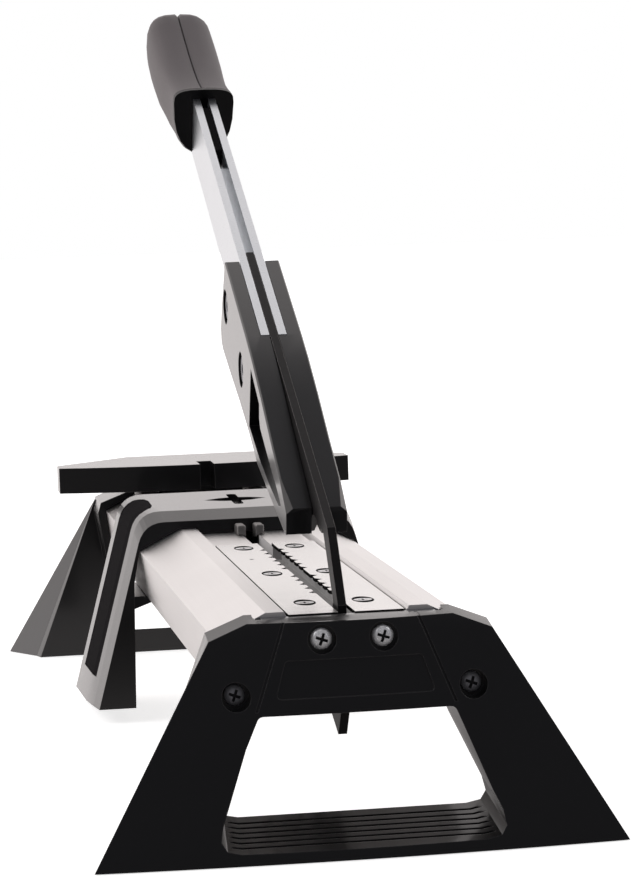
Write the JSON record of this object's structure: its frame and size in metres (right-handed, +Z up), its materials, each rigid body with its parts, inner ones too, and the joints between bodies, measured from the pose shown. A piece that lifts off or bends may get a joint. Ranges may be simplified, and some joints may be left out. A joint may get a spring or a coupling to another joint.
{
  "type": "laminate cutter",
  "caption": "Bench cutter for laminate planks: aluminium bed on two moulded feet, a lever with a chopping blade, a sliding bridge and a cross fence.",
  "frame": {"origin": "on the floor under the front foot, midway across, on the line through the foot's two outer front corners", "axes": "+X to the right seen from the front foot, +Y along the bed to the rear foot, +Z up"},
  "size_m": [0.23, 0.6578, 0.3859],
  "materials": {
    "black_plastic": "satin",
    "soft_black": "matte",
    "grip_grey": "matte",
    "aluminium": "satin",
    "bright_steel": "bright",
    "blade_steel": "black oxide",
    "zinc": "zinc plated",
    "dark_screw": "blackened"
  },
  "bodies": {
    "base": {"base_profile": "aluminium", "front_foot": "black_plastic", "rear_foot": "black_plastic", "left_bed_plate": "bright_steel", "right_bed_plate": "bright_steel", "left_plate_screw_1": "zinc", "left_plate_screw_2": "zinc", "left_plate_screw_3": "zinc", "right_plate_screw_1": "zinc", "right_plate_screw_2": "zinc", "right_plate_screw_3": "zinc", "front_pan_screw_left": "zinc", "front_pan_screw_right": "zinc", "front_deep_screw_left": "dark_screw", "front_deep_screw_right": "dark_screw", "rear_pan_screw_left": "zinc", "rear_pan_screw_right": "zinc", "rear_deep_screw_left": "dark_screw", "rear_deep_screw_right": "dark_screw", "blade_guide": "zinc", "cross_fence": "black_plastic", "fence_screw_left": "zinc", "fence_screw_right": "zinc", "pivot_bolt": "zinc", "pivot_nut": "zinc", "pivot_washer_left": "bright_steel", "pivot_washer_right": "bright_steel"},
    "slider": {"bridge": "black_plastic", "bridge_inlay_left": "soft_black", "bridge_inlay_right": "soft_black"},
    "lever": {"blade": "blade_steel", "lever_bar_left": "bright_steel", "lever_bar_right": "bright_steel", "grip_spacer": "soft_black", "housing_left": "black_plastic", "housing_right": "black_plastic", "lever_bolt_1": "zinc", "lever_bolt_2": "zinc", "lever_nut_1": "zinc", "lever_nut_2": "zinc", "grip_end_cap": "black_plastic", "grip_left": "grip_grey", "grip_right": "grip_grey"}
  },
  "joints": [
    {"name": "lever_pivot", "type": "hinge", "parent": "base", "child": "lever", "pos_m": [0, 0.058, 0.082], "axis": [1, 0, 0], "range_deg": [-17.8, 25]},
    {"name": "bridge_slide", "type": "slide", "parent": "base", "child": "slider", "axis": [0, 1, 0], "range_m": [0, 0.085]}
  ]
}
